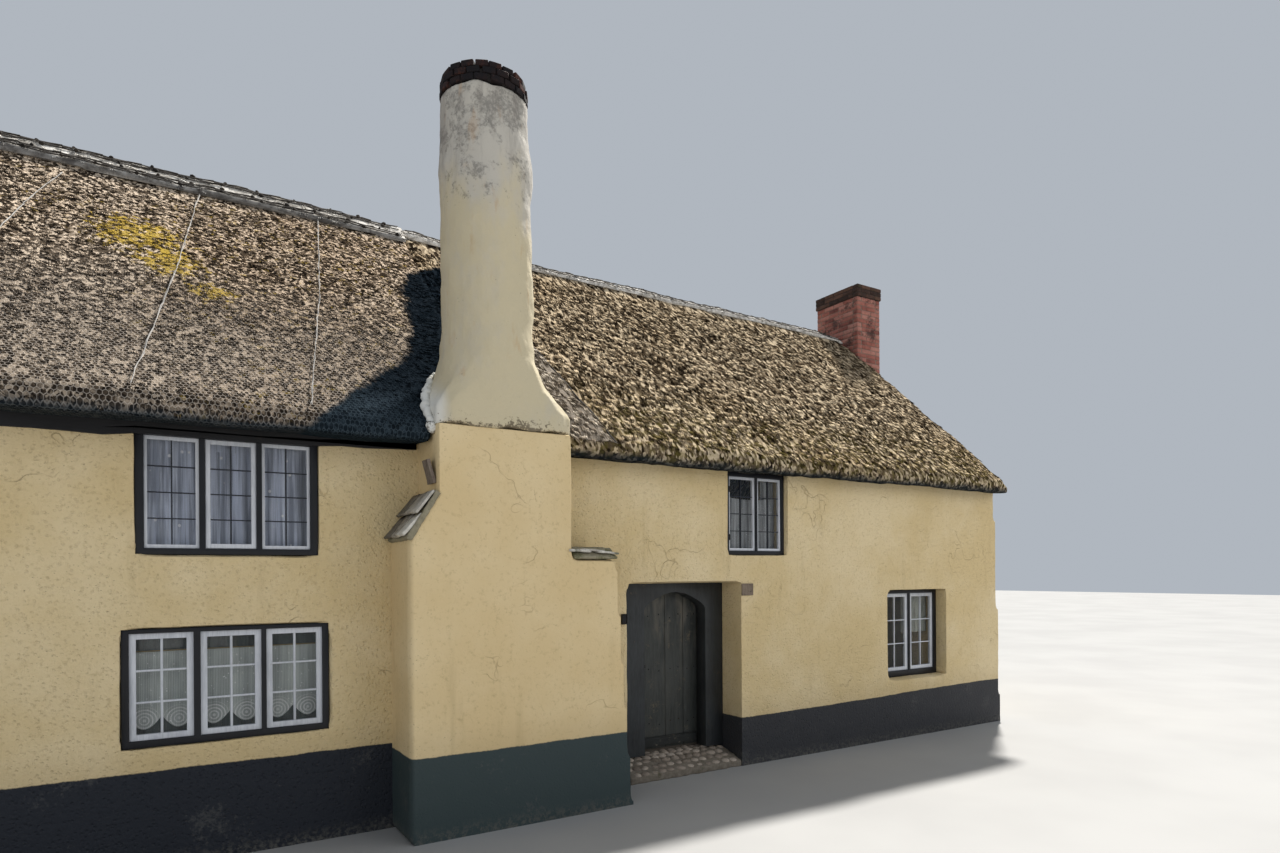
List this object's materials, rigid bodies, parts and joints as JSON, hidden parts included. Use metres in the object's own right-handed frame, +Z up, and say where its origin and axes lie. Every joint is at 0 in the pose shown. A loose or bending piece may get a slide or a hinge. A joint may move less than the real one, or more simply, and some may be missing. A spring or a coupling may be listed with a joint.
{
  "type": "thatched cottage",
  "caption": "Old thatched row cottage with cream limewashed walls, a tall round front chimney, casement windows, a brick gable stack and a hinged plank front door.",
  "frame": {"origin": "on the lowest ground level, under the middle of the house's overall box", "axes": "+X along the street front to the right as seen from the street, +Y from the street front into the house, +Z up"},
  "size_m": [13.57, 6.9169, 7.34],
  "materials": {
    "limewash": "cream-yellow limewash over rough render",
    "shaft_limewash": "weathered off-white limewash",
    "sooty_brick": "soot-blackened brick",
    "red_brick": "weathered red brick",
    "slate": "mossy slate",
    "netted_thatch": "old straw thatch under wire netting",
    "coarse_thatch": "coarse weathered straw thatch",
    "ridge_thatch": "bleached ridge thatch",
    "frame_black": "black paint",
    "casement_white": "flaking white paint",
    "glass": "old window glass",
    "door_paint": "worn dark green-black paint",
    "iron": "black iron",
    "stone": "worn stone",
    "floor_boards": "old boards",
    "number_plate": "worn painted plate"
  },
  "bodies": {
    "house": {"front_wall_left": "limewash", "front_wall_over_door": "limewash", "front_wall_right": "limewash", "back_wall": "limewash", "party_wall": "limewash", "gable_wall": "limewash", "chimney_breast": "limewash", "chimney_flare": "shaft_limewash", "chimney_shaft": "shaft_limewash", "chimney_cap": "sooty_brick", "gable_stack_cap": "sooty_brick", "gable_stack": "red_brick", "shoulder_slates_left": "slate", "shoulder_slates_right": "slate", "thatch_left": "netted_thatch", "thatch_right": "coarse_thatch", "ridge_cap_left": "ridge_thatch", "ridge_cap_right": "ridge_thatch", "window_upper_left_frame": "frame_black", "window_lower_left_frame": "frame_black", "window_upper_right_frame": "frame_black", "window_lower_right_frame": "frame_black", "window_upper_left_casements": "casement_white", "window_lower_left_casements": "casement_white", "window_upper_right_casements": "casement_white", "window_lower_right_casements": "casement_white", "back_window_lower_1_frame": "casement_white", "back_window_lower_2_frame": "casement_white", "back_window_upper_1_frame": "casement_white", "back_window_upper_2_frame": "casement_white", "window_upper_left_glass": "glass", "window_lower_left_glass": "glass", "window_upper_right_glass": "glass", "window_lower_right_glass": "glass", "back_window_lower_1_glass": "glass", "back_window_lower_2_glass": "glass", "back_window_upper_1_glass": "glass", "back_window_upper_2_glass": "glass", "door_frame": "door_paint", "bell_box": "iron", "ground_floor": "stone", "doorstep": "stone", "upper_floor": "floor_boards", "number_plate": "number_plate"},
    "front_door": {"door_leaf": "door_paint", "door_latch": "iron"}
  },
  "joints": [
    {"name": "front_door_hinge", "type": "hinge", "parent": "house", "child": "front_door", "pos_m": [1.431, -2.182, 1.1], "axis": [0, 0, -1], "range_deg": [0, 95]}
  ]
}
